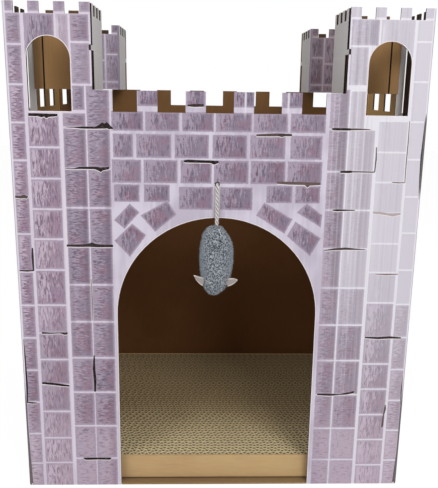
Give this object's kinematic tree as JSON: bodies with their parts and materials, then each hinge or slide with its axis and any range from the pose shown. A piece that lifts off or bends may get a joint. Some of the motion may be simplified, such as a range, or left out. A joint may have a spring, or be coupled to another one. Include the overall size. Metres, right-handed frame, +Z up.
{
  "type": "cardboard castle",
  "caption": "Cardboard toy castle with corner towers, battlements and an arched door, a scratching pad in a tray inside and a stuffed mouse on a cord in the doorway.",
  "frame": {"origin": "centre of the castle's footprint, on the floor", "axes": "+Z up, -Y towards the front with the door, +X to the right of someone who looks at the door"},
  "size_m": [0.4, 0.3175, 0.495],
  "materials": {
    "printed_board": "matt print on kraft board, brown inside",
    "kraft_board": "matt brown board",
    "pad_board": "open corrugated edges",
    "cotton_cord": "twisted cotton",
    "grey_plush": "short pile, blue grey",
    "felt": "cream felt"
  },
  "bodies": {
    "castle": {"front_sheet": "printed_board", "rear_sheet": "printed_board", "left_side": "printed_board", "right_side": "printed_board", "tower_panel_front_left": "printed_board", "tower_panel_front_right": "printed_board", "tower_panel_rear_left": "printed_board", "tower_panel_rear_right": "printed_board", "base_board": "kraft_board", "tray": "kraft_board", "scratch_pad": "pad_board", "rope_knot": "cotton_cord"},
    "toy": {"rope": "cotton_cord", "mouse_body": "grey_plush", "mouse_ear_left": "felt", "mouse_ear_right": "felt"}
  },
  "joints": [
    {"name": "toy_swing", "type": "hinge", "parent": "castle", "child": "toy", "pos_m": [-0.0015, -0.1526, 0.329], "axis": [-1, 0, 0], "range_deg": [0, 60]}
  ]
}
